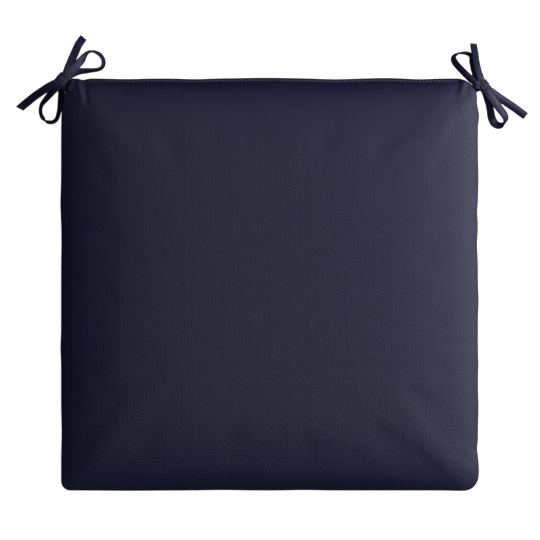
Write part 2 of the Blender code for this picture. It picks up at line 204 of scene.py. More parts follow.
def canvas(name, wrinkle_mm, edges_mm=None):
    """The dyed canvas, laid along the piece's own map of its cloth.

    A tape's edges are edges_mm apart round it, and a strip along each is painted darker as painted
    shade.
    The cover has an attribute that says where its painted shade lies and where it is duller.
    """
    nodes = ClothNodes(name)
    shader = nodes.shader
    cloth = nodes.add("ShaderNodeUVMap", uv_map="cloth")
    millimetres = nodes.add("ShaderNodeVectorMath", operation="SCALE")
    millimetres.inputs["Scale"].default_value = 1000
    nodes.join(cloth.outputs[0], millimetres.inputs[0])
    split = nodes.add("ShaderNodeSeparateXYZ")
    nodes.join(millimetres.outputs[0], split.inputs[0])
    across, along = split.outputs[0], split.outputs[1]

    tone = 0.5
    relief = 0.0
    for width, length, down, strength, height in SLUBS:
        sizes = (width, length) if down else (length, width)
        found = nodes.noise(
            nodes.maths("DIVIDE", across, sizes[0]),
            nodes.maths("DIVIDE", along, sizes[1]),
            SLUB_DETAIL,
        )
        level = nodes.maths("SUBTRACT", found, 0.5)
        tone = nodes.maths("ADD", nodes.maths("MULTIPLY", level, 2 * strength), tone)
        relief = nodes.maths("ADD", nodes.maths("MULTIPLY", level, height), relief)
    for spacing, down, strength, height in REED_MARKS:
        turn = nodes.maths("MULTIPLY", across if down else along, 2 * math.pi / spacing)
        level = nodes.maths("SINE", turn)
        tone = nodes.maths("ADD", nodes.maths("MULTIPLY", level, strength), tone)
        relief = nodes.maths("ADD", nodes.maths("MULTIPLY", level, height), relief)
    yarns = plain_weave(nodes, across, along)
    # The yarns' crowns are painted lighter and the hollows between them darker: painted shade in the
    # weave.
    yarn_level = nodes.maths("SUBTRACT", yarns, YARN_MIDDLE)
    tone = nodes.maths("ADD", nodes.maths("MULTIPLY", yarn_level, YARN_HOLLOW_SHADE), tone)

    colour = nodes.mix(tone, NAVY_DARK, NAVY_LIGHT)
    shine = nodes.maths("MULTIPLY", tone, -YARN_SHINE)
    dullness = nodes.maths("ADD", shine, CANVAS_ROUGHNESS + YARN_SHINE / 2)
    # The mask of painted edge shade: on the cover it is read from its attribute, on a tape it lies along
    # both edges.
    if edges_mm is None:
        pressed = nodes.add("ShaderNodeAttribute", attribute_name="pressed").outputs[2]
    else:
        from_edge = nodes.maths("PINGPONG", across, edges_mm / 2)
        near_edge = nodes.add("ShaderNodeMapRange", interpolation_type="SMOOTHSTEP")
        nodes.join(from_edge, near_edge.inputs["Value"])
        nodes.join(PAINTED_EDGE_SHADE_MM, near_edge.inputs["From Max"])
        nodes.join(1.0, near_edge.inputs["To Min"])
        nodes.join(0.0, near_edge.inputs["To Max"])
        pressed = near_edge.outputs[0]
    # The base colour is painted darker where the mask is, as painted shade; on the cover the same strip
    # is also made duller.
    nodes.join(nodes.mix(pressed, colour, NAVY_PAINTED_EDGE_SHADE), shader.inputs["Base Color"])
    if edges_mm is None:
        dulled = nodes.maths("MULTIPLY", pressed, PRESSED_DULLNESS)
        dullness = nodes.maths("ADD", dullness, dulled)
    nodes.join(dullness, shader.inputs["Roughness"])

    creases = nodes.noise(
        nodes.maths("DIVIDE", across, CREASE_ACROSS_MM),
        nodes.maths("DIVIDE", along, CREASE_ALONG_MM),
        CREASE_DETAIL,
    )
    normal = None
    for height, size_mm in ((creases, wrinkle_mm), (relief, 1.0), (yarns, YARN_RELIEF_MM)):
        normal = nodes.bump(height, size_mm, normal)
    nodes.join(normal, shader.inputs["Normal"])
    shader.inputs["Metallic"].default_value = 0.0
    shader.inputs["Specular IOR Level"].default_value = CANVAS_SPECULAR
    return nodes.material


tie_canvas = canvas("navy_tie_canvas", TIE_WRINKLE_MM, TAPE_EDGES_MM)


def smooth_route(rows, spacing):
    """A smooth curve through the rows, column by column, with a point about every spacing."""
    points = [Vector(row) for row in rows]
    points = [2 * points[0] - points[1], *points, 2 * points[-1] - points[-2]]
    route = []
    for i in range(1, len(points) - 2):
        before, start, end, after = points[i - 1 : i + 3]
        steps = max(1, round((Vector(end[:3]) - Vector(start[:3])).length / spacing))
        for step in range(steps):
            t = step / steps
            route.append(
                0.5
                * (
                    2 * start
                    + (end - before) * t
                    + (2 * before - 5 * start + 4 * end - after) * t**2
                    + (3 * start - before - 3 * end + after) * t**3
                )
            )
    return [*route, points[-2]]


def tape_frames(rows):
    """(place, across, upward, width, way along) down the tape. It lies flat at a lean of 0."""
    route = smooth_route(rows, TAPE_STATION)
    frames = []
    gone = 0.0
    for i, (*place, lean, width) in enumerate(route):
        place = Vector(place)
        before = Vector(route[max(0, i - 1)][:3])
        after = Vector(route[min(len(route) - 1, i + 1)][:3])
        ahead = (after - before).normalized()
        level = ahead.cross(Vector((0, 0, 1))).normalized()
        upward = level.cross(ahead)
        gone += (place - before).length
        lean += SLOW_TWIST * math.sin(gone / SLOW_TWIST_LENGTH)
        lean += QUICK_TWIST * math.sin(gone / QUICK_TWIST_LENGTH)
        turn = math.radians(lean)
        across = level * math.cos(turn) + upward * math.sin(turn)
        frames.append((place, across, across.cross(ahead), width * TAPE_SPREAD, gone))
    return frames


def cloth_mesh(name, places, faces, cloth_map, material):
    """A smooth piece of these faces. Its map has each corner's place on the cloth, in metres."""
    data = bpy.data.meshes.new(name)
    data.from_pydata(places, [], faces)
    layer = data.uv_layers.new(name="cloth")
    corners = np.zeros(len(data.loops), np.int32)
    data.loops.foreach_get("vertex_index", corners)
    layer.uv.foreach_set("vector", cloth_map(corners).astype(np.float32).ravel())
    data.shade_smooth()
    data.materials.append(material)
    made = bpy.data.objects.new(name, data)
    bpy.context.scene.collection.objects.link(made)
    return made


def turn_faces_out(piece):
    mesh = bmesh.new()
    mesh.from_mesh(piece.data)
    bmesh.ops.recalc_face_normals(mesh, faces=mesh.faces)
    mesh.to_mesh(piece.data)
    mesh.free()


def cup_rise(cupped, upward, width, aside):
    """How far a cupped tape, hollow side down, rises at this many half widths from its middle."""
    facing = max(-1.0, min(1.0, upward.z / CUPPED_FROM))
    return cupped * facing * min(1.0, width / TAPE_WIDTH) * (0.5 - aside * aside)


def tape_outline():
    """The upper face from the open edge to the fold, and the lower face back."""
    return [*TAPE_SECTION, *((a, -h) for a, h in reversed(TAPE_SECTION))]


def sewn_tape(name, rows, cupped, closed_end=True, end_slant=0.0):
    """The tape as folded, swept along its rows, and the frames that its stitches follow."""
    frames = tape_frames(rows)
    section = [*tape_outline(), (OPEN_EDGE_DEPTH, 0.0)]
    places, where = [], []
    for place, across, upward, width, gone in frames:
        to_end = min(gone, frames[-1][4] - gone) if closed_end else gone
        plump = min(1.0, to_end / CUT_END_REACH)
        plump = CUT_END_THICKNESS + (1 - CUT_END_THICKNESS) * plump
        ahead = upward.cross(across)
        slant = end_slant * max(0.0, 1 - (frames[-1][4] - gone) / SLANT_REACH)
        for j, (a, h) in enumerate(section):
            height = h * plump * TAPE_THICKNESS / 2 + cup_rise(cupped, upward, width, a)
            spot = place + (across + ahead * slant) * a * width / 2 + upward * height
            spot.z = max(spot.z, CLEAR_OF_FLOOR)
            places.append(spot)
            where.append((j * SECTION_STEP, gone))
    count = len(section)
    faces = []
    for i in range(len(frames) - 1):
        for j in range(count):
            k = (j + 1) % count
            faces.append((i * count + j, (i + 1) * count + j, (i + 1) * count + k, i * count + k))
    quad_corners = 4 * len(faces)
    last = (len(frames) - 1) * count
    faces.append(tuple(range(count)))
    faces.append(tuple(last + j for j in reversed(range(count))))
    where = np.array(where)

    def cloth_map(corners):
        found = where[corners]
        closes = (corners[:quad_corners] % count == 0) & (np.arange(quad_corners) % 4 >= 2)
        found[:quad_corners][closes, 0] = count * SECTION_STEP
        return found

    made = cloth_mesh(name, places, faces, cloth_map, tie_canvas)
    turn_faces_out(made)
    made.data.set_sharp_from_angle(angle=math.radians(SHARP_EDGE_DEGREES))
    return made, frames


# The tapes are sewn shut with a straight lockstitch of polyester thread in the cloth's own navy, laid
# in the furrow that it draws beside the open edge. One stitch is shaped and copied along each row.
TIE_THREAD = (0.0070, 0.0070, 0.0170, 1)
PLY_GROOVE_SHADE = 0.4
THREAD_WIDTH = 0.00060
THREAD_RISE = 0.25
THREAD_RELIEF_MM = 0.08
THREAD_ROUGHNESS = 0.42
THREAD_SPECULAR = 0.2
PLIES_ROUND = 4
PLIES_ALONG = 9
STITCH_LENGTH = 0.0034
STITCH_PITCH = 0.0047
TAPE_STITCH_ACROSS = 0.680
FURROW_HEIGHT = 0.66
# A stitch's straight middle, the two steps of each end, how far a step dips and how it thins.
STITCH_MIDDLE = 0.56
STITCH_END_STEPS = (0.12, 0.10)
STITCH_DIP = 0.35
STITCH_THINNING = 0.8


def thread_paint(name, thread_colour):
    """Polyester thread: plies twisted together, the grooves between them painted darker as painted
    shade, with a soft shine.
    """
    nodes = ClothNodes(name)
    shader = nodes.shader
    lengths = nodes.add("ShaderNodeUVMap", uv_map="UVMap")
    split = nodes.add("ShaderNodeSeparateXYZ")
    nodes.join(lengths.outputs[0], split.inputs[0])
    round_it = nodes.maths("MULTIPLY", split.outputs[0], PLIES_ROUND * math.pi)
    along_it = nodes.maths("MULTIPLY", split.outputs[1], PLIES_ALONG * math.pi)
    twist = nodes.maths("ADD", round_it, along_it)
    ply = nodes.maths("ABSOLUTE", nodes.maths("SINE", twist))
    # The grooves between the plies are painted darker: painted shade.
    groove_shaded = [*(PLY_GROOVE_SHADE * c for c in thread_colour[:3]), 1]
    nodes.join(nodes.mix(ply, groove_shaded, thread_colour), shader.inputs["Base Color"])
    nodes.join(nodes.bump(ply, THREAD_RELIEF_MM), shader.inputs["Normal"])
    shader.inputs["Roughness"].default_value = THREAD_ROUGHNESS
    shader.inputs["Specular IOR Level"].default_value = THREAD_SPECULAR
    return nodes.material


def one_stitch(name, length, paint):
    """A short bar of thread along +X, with both ends dipping into the cloth."""
    bpy.ops.object.select_all(action="DESELECT")
    bpy.ops.mesh.primitive_cylinder_add(
        vertices=8,
        radius=THREAD_WIDTH / 2,
        depth=length * STITCH_MIDDLE,
        end_fill_type="NGON",
    )
    stitch = bpy.context.object
    stitch.name = name
    bpy.ops.object.mode_set(mode="EDIT")
    bpy.ops.mesh.select_all(action="SELECT")
    bpy.ops.transform.rotate(
        value=math.radians(90), orient_axis="Y", center_override=(0, 0, 0)
    )
    for way in (-1, 1):
        for reach in STITCH_END_STEPS:
            bpy.ops.mesh.select_all(action="DESELECT")
            mesh = bmesh.from_edit_mesh(stitch.data)
            mesh.faces.ensure_lookup_table()
            end = max(mesh.faces, key=lambda f: way * f.calc_center_median().x)
            end.select_set(True)
            mesh.select_flush(True)
            bmesh.update_edit_mesh(stitch.data)
            step = (way * length * reach, 0, -THREAD_WIDTH * STITCH_DIP)
            bpy.ops.mesh.extrude_region_move(TRANSFORM_OT_translate={"value": step})
            bpy.ops.transform.resize(value=(1, STITCH_THINNING, STITCH_THINNING))
    bpy.ops.mesh.select_all(action="SELECT")
    bpy.ops.mesh.normals_make_consistent(inside=False)
    bpy.ops.object.mode_set(mode="OBJECT")
    stitch.data.shade_smooth()
    stitch.data.materials.append(paint)
    return stitch


def stitch_row(name, length, spots, paint):
    """Copies of one stitch at these (place, along, out), joined into one piece."""
    first = one_stitch(name, length, paint)
    made = []
    for place, along, out in spots:
        copy = first.copy()
        copy.data = first.data.copy()
        bpy.context.scene.collection.objects.link(copy)
        side = out.cross(along).normalized()
        turn = Matrix((along, side, out)).transposed().to_4x4()
        copy.data.transform(Matrix.Translation(place) @ turn)
        made.append(copy)
    bpy.data.objects.remove(first)
    bpy.ops.object.select_all(action="DESELECT")
    for copy in made:
        copy.select_set(True)
    bpy.context.view_layer.objects.active = made[0]
    bpy.ops.object.join()
    made[0].name = name
    return made[0]


tie_thread = thread_paint("navy_tie_thread", TIE_THREAD)


def tape_stitches(name, frames, cupped):
    """The row of edge stitches down both faces of a tape, in its furrow."""
    spots = []
    next_at = STITCH_PITCH / 2
    for i, (place, across, upward, width, gone) in enumerate(frames[:-1]):
        if gone < next_at:
            continue
        next_at += STITCH_PITCH
        along = (frames[i + 1][0] - frames[i - 1][0]).normalized()
        middle = place + across * TAPE_STITCH_ACROSS * width / 2
        middle += upward * cup_rise(cupped, upward, width, TAPE_STITCH_ACROSS)
        for face in (1, -1):
            height = FURROW_HEIGHT * TAPE_THICKNESS / 2 + THREAD_WIDTH * THREAD_RISE
            spots.append((middle + upward * face * height, along, upward * face))
    return stitch_row(name, STITCH_LENGTH, spots, tie_thread)


LEFT_SIDE_TAPE = (
    # x, y, z, lean, width: out round the upper loop, back through the knot, and the side tail
    (-0.2509, 0.2510, 0.0362, 0, 0.0080),
    (-0.2459, 0.2576, 0.0359, -6, 0.0086),
    (-0.2399, 0.2630, 0.0341, -12, 0.0094),
    (-0.2330, 0.2696, 0.0296, -20, 0.0095),
    (-0.2290, 0.2740, 0.0257, -36, 0.0095),
    (-0.2246, 0.2800, 0.0200, -62, 0.0095),
    (-0.2199, 0.2841, 0.0146, -86, 0.0095),
    (-0.2139, 0.2843, 0.0102, -104, 0.0095),
    (-0.2079, 0.2815, 0.0074, -110, 0.0095),
    (-0.2039, 0.2764, 0.0060, -110, 0.0095),
    (-0.2030, 0.2711, 0.0058, -110, 0.0095),
    (-0.2048, 0.2661, 0.0068, -108, 0.0095),
    (-0.2103, 0.2628, 0.0094, -108, 0.0095),
    (-0.2218, 0.2611, 0.0164, -116, 0.0095),
    (-0.2325, 0.2598, 0.0236, -132, 0.0093),
    (-0.2420, 0.2559, 0.0308, -160, 0.0084),
    (-0.2518, 0.2499, 0.0356, -178, 0.0080),
    (-0.2595, 0.2456, 0.0371, -174, 0.0092),
    (-0.2680, 0.2414, 0.0334, -166, 0.0095),
    (-0.2758, 0.2369, 0.0280, -162, 0.0095),
    (-0.2821, 0.2330, 0.0224, -162, 0.0095),
    (-0.2886, 0.2288, 0.0156, -166, 0.0095),
    (-0.2952, 0.2239, 0.0089, -170, 0.0095),
    (-0.3012, 0.2195, 0.0030, -174, 0.0095),
    (-0.3060, 0.2153, 0.0011, -176, 0.0095),
)
LEFT_UPPER_TAPE = (
    # x, y, z, lean, width: out round the side loop, back through the knot, and the upper tail
    (-0.2526, 0.2476, 0.0359, 0, 0.0080),
    (-0.2581, 0.2416, 0.0349, -12, 0.0084),
    (-0.2632, 0.2368, 0.0318, -28, 0.0090),
    (-0.2682, 0.2316, 0.0270, -42, 0.0095),
    (-0.2739, 0.2255, 0.0207, -54, 0.0095),
    (-0.2780, 0.2205, 0.0158, -62, 0.0095),
    (-0.2800, 0.2146, 0.0110, -66, 0.0095),
    (-0.2797, 0.2086, 0.0079, -68, 0.0095),
    (-0.2770, 0.2030, 0.0062, -72, 0.0095),
    (-0.2721, 0.1991, 0.0060, -106, 0.0095),
    (-0.2655, 0.1988, 0.0060, -112, 0.0095),
    (-0.2606, 0.2026, 0.0074, -116, 0.0095),
    (-0.2577, 0.2107, 0.0109, -120, 0.0095),
    (-0.2557, 0.2210, 0.0175, -128, 0.0095),
    (-0.2544, 0.2307, 0.0246, -136, 0.0092),
    (-0.2536, 0.2379, 0.0296, -156, 0.0086),
    (-0.2517, 0.2487, 0.0344, -176, 0.0072),
    (-0.2510, 0.2532, 0.0366, -176, 0.0050),
    (-0.2495, 0.2585, 0.0374, -170, 0.0046),
    (-0.2461, 0.2659, 0.0348, -174, 0.0064),
    (-0.2422, 0.2722, 0.0305, -186, 0.0090),
    (-0.2383, 0.2813, 0.0228, -190, 0.0095),
    (-0.2342, 0.2918, 0.0128, -190, 0.0095),
    (-0.2312, 0.2972, 0.0070, -186, 0.0095),
    (-0.2294, 0.3002, 0.0022, -180, 0.0095),
    (-0.2275, 0.3026, 0.0014, -174, 0.0093),
)
LEFT_ROOT = (
    # x, y, z, lean, width: from the seam into the knot
    (-0.2454, 0.2371, 0.0306, 0, 0.0116),
    (-0.2469, 0.2395, 0.0318, 0, 0.0120),
    (-0.2493, 0.2416, 0.0317, 0, 0.0124),
    (-0.2503, 0.2456, 0.0323, 0, 0.0130),
    (-0.2511, 0.2494, 0.0340, 0, 0.0124),
)
LEFT_ROOT_FOLD = (
    # x, y, z, lean, width: from the seam into the knot
    (-0.2506, 0.2366, 0.0384, 30, 0.0038),
    (-0.2503, 0.2390, 0.0394, 20, 0.0044),
    (-0.2508, 0.2422, 0.0384, 8, 0.0054),
    (-0.2516, 0.2466, 0.0372, 0, 0.0070),
)
RIGHT_SIDE_TAPE = (
    # x, y, z, lean, width: out round the upper loop, back through the knot, and the side tail
    (0.2586, 0.2429, 0.0345, 5, 0.0080),
    (0.2485, 0.2474, 0.0348, 28, 0.0086),
    (0.2383, 0.2566, 0.0326, 44, 0.0095),
    (0.2297, 0.2661, 0.0247, 50, 0.0095),
    (0.2251, 0.2733, 0.0171, 57, 0.0095),
    (0.2251, 0.2786, 0.0123, 70, 0.0095),
    (0.2297, 0.2824, 0.0084, 84, 0.0095),
    (0.2366, 0.2834, 0.0064, 98, 0.0095),
    (0.2425, 0.2824, 0.0060, 106, 0.0095),
    (0.2461, 0.2793, 0.0071, 110, 0.0095),
    (0.2472, 0.2725, 0.0115, 118, 0.0095),
    (0.2488, 0.2632, 0.0192, 122, 0.0095),
    (0.2514, 0.2538, 0.0279, 136, 0.0092),
    (0.2551, 0.2478, 0.0316, 162, 0.0082),
    (0.2609, 0.2414, 0.0321, 180, 0.0080),
    (0.2702, 0.2356, 0.0315, 184, 0.0086),
    (0.2802, 0.2282, 0.0260, 174, 0.0094),
    (0.2904, 0.2217, 0.0185, 166, 0.0095),
    (0.2990, 0.2163, 0.0116, 162, 0.0095),
    (0.3054, 0.2118, 0.0070, 160, 0.0095),
    (0.3097, 0.2090, 0.0028, 162, 0.0095),
    (0.3138, 0.2060, 0.0022, 164, 0.0092),
)
RIGHT_UPPER_TAPE = (
    # x, y, z, lean, width: out round the side loop, back through the knot, and the upper tail
    (0.2620, 0.2386, 0.0357, 0, 0.0080),
    (0.2656, 0.2340, 0.0361, 4, 0.0086),
    (0.2706, 0.2279, 0.0351, 10, 0.0094),
    (0.2768, 0.2198, 0.0312, 16, 0.0095),
    (0.2824, 0.2129, 0.0262, 22, 0.0095),
    (0.2871, 0.2074, 0.0210, 34, 0.0095),
    (0.2892, 0.2029, 0.0165, 54, 0.0095),
    (0.2885, 0.1986, 0.0125, 82, 0.0095),
    (0.2849, 0.1953, 0.0093, 120, 0.0095),
    (0.2799, 0.1949, 0.0070, 144, 0.0095),
    (0.2751, 0.1979, 0.0056, 170, 0.0095),
    (0.2718, 0.2042, 0.0068, 196, 0.0095),
    (0.2698, 0.2128, 0.0134, 212, 0.0095),
    (0.2675, 0.2216, 0.0212, 218, 0.0095),
    (0.2648, 0.2291, 0.0282, 214, 0.0092),
    (0.2629, 0.2344, 0.0314, 200, 0.0084),
    (0.2608, 0.2416, 0.0344, 178, 0.0080),
    (0.2583, 0.2491, 0.0358, 162, 0.0084),
    (0.2546, 0.2604, 0.0329, 148, 0.0092),
    (0.2526, 0.2707, 0.0267, 146, 0.0095),
    (0.2517, 0.2803, 0.0178, 146, 0.0095),
    (0.2510, 0.2875, 0.0103, 146, 0.0095),
    (0.2506, 0.2914, 0.0046, 146, 0.0095),
    (0.2503, 0.2949, 0.0032, 146, 0.0095),
)
RIGHT_ROOT = (
    # x, y, z, lean, width: from the seam into the knot
    (0.2492, 0.2386, 0.0304, 0, 0.0104),
    (0.2528, 0.2401, 0.0310, 0, 0.0100),
    (0.2564, 0.2407, 0.0322, 0, 0.0090),
    (0.2599, 0.2410, 0.0330, 0, 0.0080),
)
RIGHT_ROOT_EDGE = (
    # x, y, z, lean, width: from the seam into the knot
    (0.2474, 0.2445, 0.0386, 30, 0.0046),
    (0.2502, 0.2460, 0.0396, 36, 0.0052),
    (0.2538, 0.2454, 0.0386, 30, 0.0056),
    (0.2583, 0.2425, 0.0366, 10, 0.0062),
)
RIGHT_ROOT_FOLD = (
    # x, y, z, lean, width: from the seam into the knot
    (0.2504, 0.2402, 0.0384, 8, 0.0049),
    (0.2527, 0.2411, 0.0386, 6, 0.0052),
    (0.2558, 0.2408, 0.0378, 2, 0.0060),
    (0.2593, 0.2405, 0.0364, 0, 0.0074),
)
LEFT_KNOT = {"place": (-0.2522, 0.2496, 0.0356), "turn": 49.0, "size": (0.0124, 0.0156, 0.0104)}
RIGHT_KNOT = {"place": (0.2612, 0.2416, 0.0344), "turn": -57.0, "size": (0.0120, 0.0144, 0.0104)}
KNOT_STATIONS = 56
KNOT_SQUARENESS = 3.2
# The knot's ridges: their height, how much of it the inner face has, their number in a half width, and
# how far they wander as they go round.
RIDGE_HEIGHT = 0.24
RIDGE_INSIDE = 0.5
RIDGE_COUNT = 1.05
RIDGE_WANDER = 0.16
RIDGE_START = 0.7
# Its sides are drawn in a little and wave to and fro.
SIDES_DRAWN_IN = 0.04
SIDES_WAVE = 0.05
SIDES_WAVE_START = 1.3


def wrapped_knot(name, place, turn, size):
    """The turn of tape that is pulled tight round both tapes, gathered into ridges."""
    long, wide, high = (s / 2 for s in size)
    axis = Vector((math.cos(math.radians(turn)), math.sin(math.radians(turn)), 0))
    side = Vector((-axis.y, axis.x, 0))
    up = Vector((0, 0, 1))
    section = tape_outline()
    count = len(section)
    places, where = [], []
    for i in range(KNOT_STATIONS):
        angle = 2 * math.pi * i / KNOT_STATIONS
        c, s = math.cos(angle), math.sin(angle)
        reach = (abs(c) ** KNOT_SQUARENESS + abs(s) ** KNOT_SQUARENESS) ** (-1 / KNOT_SQUARENESS)
        for j, (a, h) in enumerate(section):
            wander = RIDGE_WANDER * math.sin(angle + RIDGE_START)
            ridge = RIDGE_HEIGHT * math.cos(2 * math.pi * (RIDGE_COUNT * a + wander))
            thick = TAPE_THICKNESS / 2 * (h + (ridge if h > 0 else -RIDGE_INSIDE * ridge))
            out = 1 - SIDES_DRAWN_IN * abs(a) ** 3
            wave = SIDES_WAVE * math.sin(2 * angle + SIDES_WAVE_START + 2 * a)
            spot = (
                axis * (a + wave) * long
                + side * (reach * c * out * (wide - TAPE_THICKNESS / 2) + c * thick)
                + up * (reach * s * out * (high - TAPE_THICKNESS / 2) + s * thick)
            )
            places.append(Vector(place) + spot)
            where.append((j * SECTION_STEP, angle * (wide + high) / 2))
    faces = []
    for i in range(KNOT_STATIONS):
        for j in range(count):
            i2, j2 = (i + 1) % KNOT_STATIONS, (j + 1) % count
            faces.append((i * count + j, i * count + j2, i2 * count + j2, i2 * count + j))
    where = np.array(where)
    made = cloth_mesh(name, places, faces, lambda corners: where[corners], tie_canvas)
    turn_faces_out(made)
    return made


for node, tapes, roots, knot, cupped, end_slant, seam_exit in (
    # how deep the tapes are cupped, how their side tail's end slants, and where they leave the seam
    (
        "tie_left",
        {"side": LEFT_SIDE_TAPE, "upper": LEFT_UPPER_TAPE},
        {"root": LEFT_ROOT, "root_fold": LEFT_ROOT_FOLD},
        LEFT_KNOT,
        0.0004,
        -0.35,
        (-0.2540, 0.2440, 0.0400),
    ),
    (
        "tie_right",
        {"side": RIGHT_SIDE_TAPE, "upper": RIGHT_UPPER_TAPE},
        {"root": RIGHT_ROOT, "root_fold": RIGHT_ROOT_FOLD, "root_edge": RIGHT_ROOT_EDGE},
        RIGHT_KNOT,
        0.0012,
        0.0,
        (0.2530, 0.2440, 0.0400),
    ),
):
    fixed = [wrapped_knot(f"{node}_knot", **knot)]
    for way, rows in roots.items():
        fixed.append(sewn_tape(f"{node}_{way}", rows, 0.0, closed_end=False)[0])
    for piece in fixed:
        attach(piece, "root")
        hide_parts(node)
    for way, rows in tapes.items():
        slant = end_slant if way == "side" else 0.0
        tape, frames = sewn_tape(f"{node}_{way}_tape", rows, cupped, end_slant=slant)
        stitches = tape_stitches(f"{node}_{way}_stitches", frames, cupped)
        for piece in (tape, stitches):
            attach(piece, "root")
            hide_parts(node)

# The cover is two square panels of the canvas, sewn face to face, turned and filled. It has one
# knife-edge seam at mid-height, a full crown and a flat where it rests, with the ties caught in its back
# corners. The back edge lies flat as a narrow lip, closed with topstitching.
WIDTH = 0.508
DEPTH = 0.502
THICKNESS = 0.076
HALF_WIDTH = WIDTH / 2
HALF_DEPTH = DEPTH / 2
CORNER_RADIUS = {
    # left or right, front or back
    (-1, 1): 0.0145,
    (1, 1): 0.0260,
    (-1, -1): 0.0115,
    (1, -1): 0.0165,
}
# The left tie draws its corner in along the seam, and draws out a tip: how far, and the tip's middle and
# reach in degrees round from +X.
LEFT_CORNER_DRAW = 0.0060
DRAW_REACH = 0.012
LEFT_TIP = 0.0021
LEFT_TIP_MIDDLE = 120
LEFT_TIP_REACH = 12
EDGE_PUCKERS = {
    # place along the side, reach, how far out
    "left": (
        (0.098, 0.020, 0.0008),
        (0.056, 0.026, -0.0004),
        (-0.077, 0.014, 0.0007),
        (-0.180, 0.020, -0.0007),
    ),
    "right": (
        (0.222, 0.018, -0.0012),
        (0.130, 0.022, 0.0007),
        (0.088, 0.010, -0.0008),
        (0.048, 0.014, -0.0010),
        (-0.020, 0.016, 0.0008),
        (-0.097, 0.012, 0.0006),
        (-0.150, 0.022, 0.0007),
        (-0.200, 0.007, -0.0010),
        (-0.226, 0.014, 0.0012),
    ),
    "back": (
        (-0.2298, 0.006, -0.0018),
        (-0.174, 0.024, -0.0007),
        (-0.091, 0.020, -0.0008),
        (-0.005, 0.040, 0.0009),
        (0.080, 0.024, -0.0009),
        (0.140, 0.022, 0.0006),
        (0.183, 0.018, -0.0009),
    ),
    "front": (
        (-0.170, 0.040, 0.0004),
        (-0.058, 0.026, -0.0005),
        (0.043, 0.022, -0.0005),
        (0.230, 0.014, 0.0005),
    ),
}
PUCKER_FADE = 0.10
SHOULDER_RISE = 0.0325
SHOULDER_FLATNESS = 5.0
SHOULDER_ROUNDNESS = 0.52
DOME_RISE = THICKNESS - SEAM_HEIGHT - SHOULDER_RISE
CORNER_DROP = 0.60
CORNER_SHARPNESS = 4.0
MIDDLE_SQUARENESS = 3.2
ROUNDING_REACH = 0.45
FLAT_SHARE = 0.83
UNDER_ROUNDNESS = 2.2
LIP_WIDTH = 0.0042
LIP_HALF_THICKNESS = 0.0013
LIP_RISE = 0.0022
LIP_HALF_LENGTH = 0.222
LIP_FADE = 0.016
LIP_FADES_FROM = 0.70
LIP_FULL_FROM = 0.95
GATHERS = (
    # start x, start y, end x, end y, half width, rise
    (-0.2415, 0.2480, -0.2455, 0.2360, 0.0030, 0.0009),
    (-0.2365, 0.2485, -0.2390, 0.2370, 0.0028, -0.0009),
    (-0.2315, 0.2480, -0.2266, 0.2190, 0.0036, 0.0019),
    (-0.2264, 0.2485, -0.2228, 0.2230, 0.0032, -0.0015),
    (-0.2150, 0.2340, -0.2110, 0.2230, 0.0070, 0.0008),
    (0.2312, 0.2480, 0.2288, 0.2360, 0.0032, -0.0016),
    (0.2368, 0.2465, 0.2350, 0.2360, 0.0032, 0.0015),
    (0.2455, 0.2370, 0.2480, 0.2190, 0.0034, 0.0013),
    (0.2524, -0.1845, 0.2466, -0.1902, 0.0016, -0.0007),
    (0.2320, -0.2100, 0.2500, -0.2100, 0.0018, -0.0004),
)
GATHER_START = 0.0018
GATHER_LOSS = 0.60
# The topstitching of the back edge runs this far in from it, between these places, in a shallow furrow.
STITCH_INSET = 0.0031
STITCHES_START = -0.1966
STITCHES_END = 0.2198
FURROW_SINK = 0.0004
FURROW_HALF_WIDTH = 0.0007
FURROW_END = 0.003
FURROW_BAND = 0.012
SEAM_ROLL = (
    # way in from the seam along the cloth, the face's and the underside's distance in from the outline,
    # share of the rise at the end of the roll
    (0.00000, 0.00190, 0.00150, 0.00),
    (0.00025, 0.00140, 0.00085, 0.10),
    (0.00050, 0.00105, 0.00035, 0.26),
    (0.00080, 0.00090, 0.00008, 0.46),
    (0.00120, 0.00095, 0.00000, 0.70),
    (0.00170, 0.00125, 0.00020, 1.00),
    (0.00250, 0.00200, 0.00110, 1.00),
    (0.00320, 0.00300, 0.00210, 1.00),
    (0.00370, 0.00360, 0.00290, 1.00),
    (0.00420, 0.00418, 0.00370, 1.00),
    (0.00500, 0.00500, 0.00470, 1.00),
    (0.00650, 0.00650, 0.00640, 1.00),
    (0.00850, 0.00850, 0.00850, 1.00),
    (0.01100, 0.01100, 0.01100, 1.00),
)
ROLL_END = 0.0017
# The underside bulges past the seam for a short way beside the right tie.
UNDER_BULGE = {"place": 0.2064, "reach": 0.0100, "out": 0.0020, "start": 0.0008, "depth": 0.006}
LINE_SPACING = 0.0040
EDGE_LINE_SPACING = 0.0015
EDGE_LINES_REACH = 0.036
SIMULATED_LINE = 0.0050
# Keeps a division from meeting zero.
LEAST = 1e-6


def bell(offset, reach):
    """1 in the middle, falling to nothing past the reach."""
    return np.exp(-((offset / reach) ** 2))


def smooth_step(value):
    """From 0 to 1 with no kink at either end."""
    value = np.clip(value, 0.0, 1.0)
    return value * value * (3 - 2 * value)


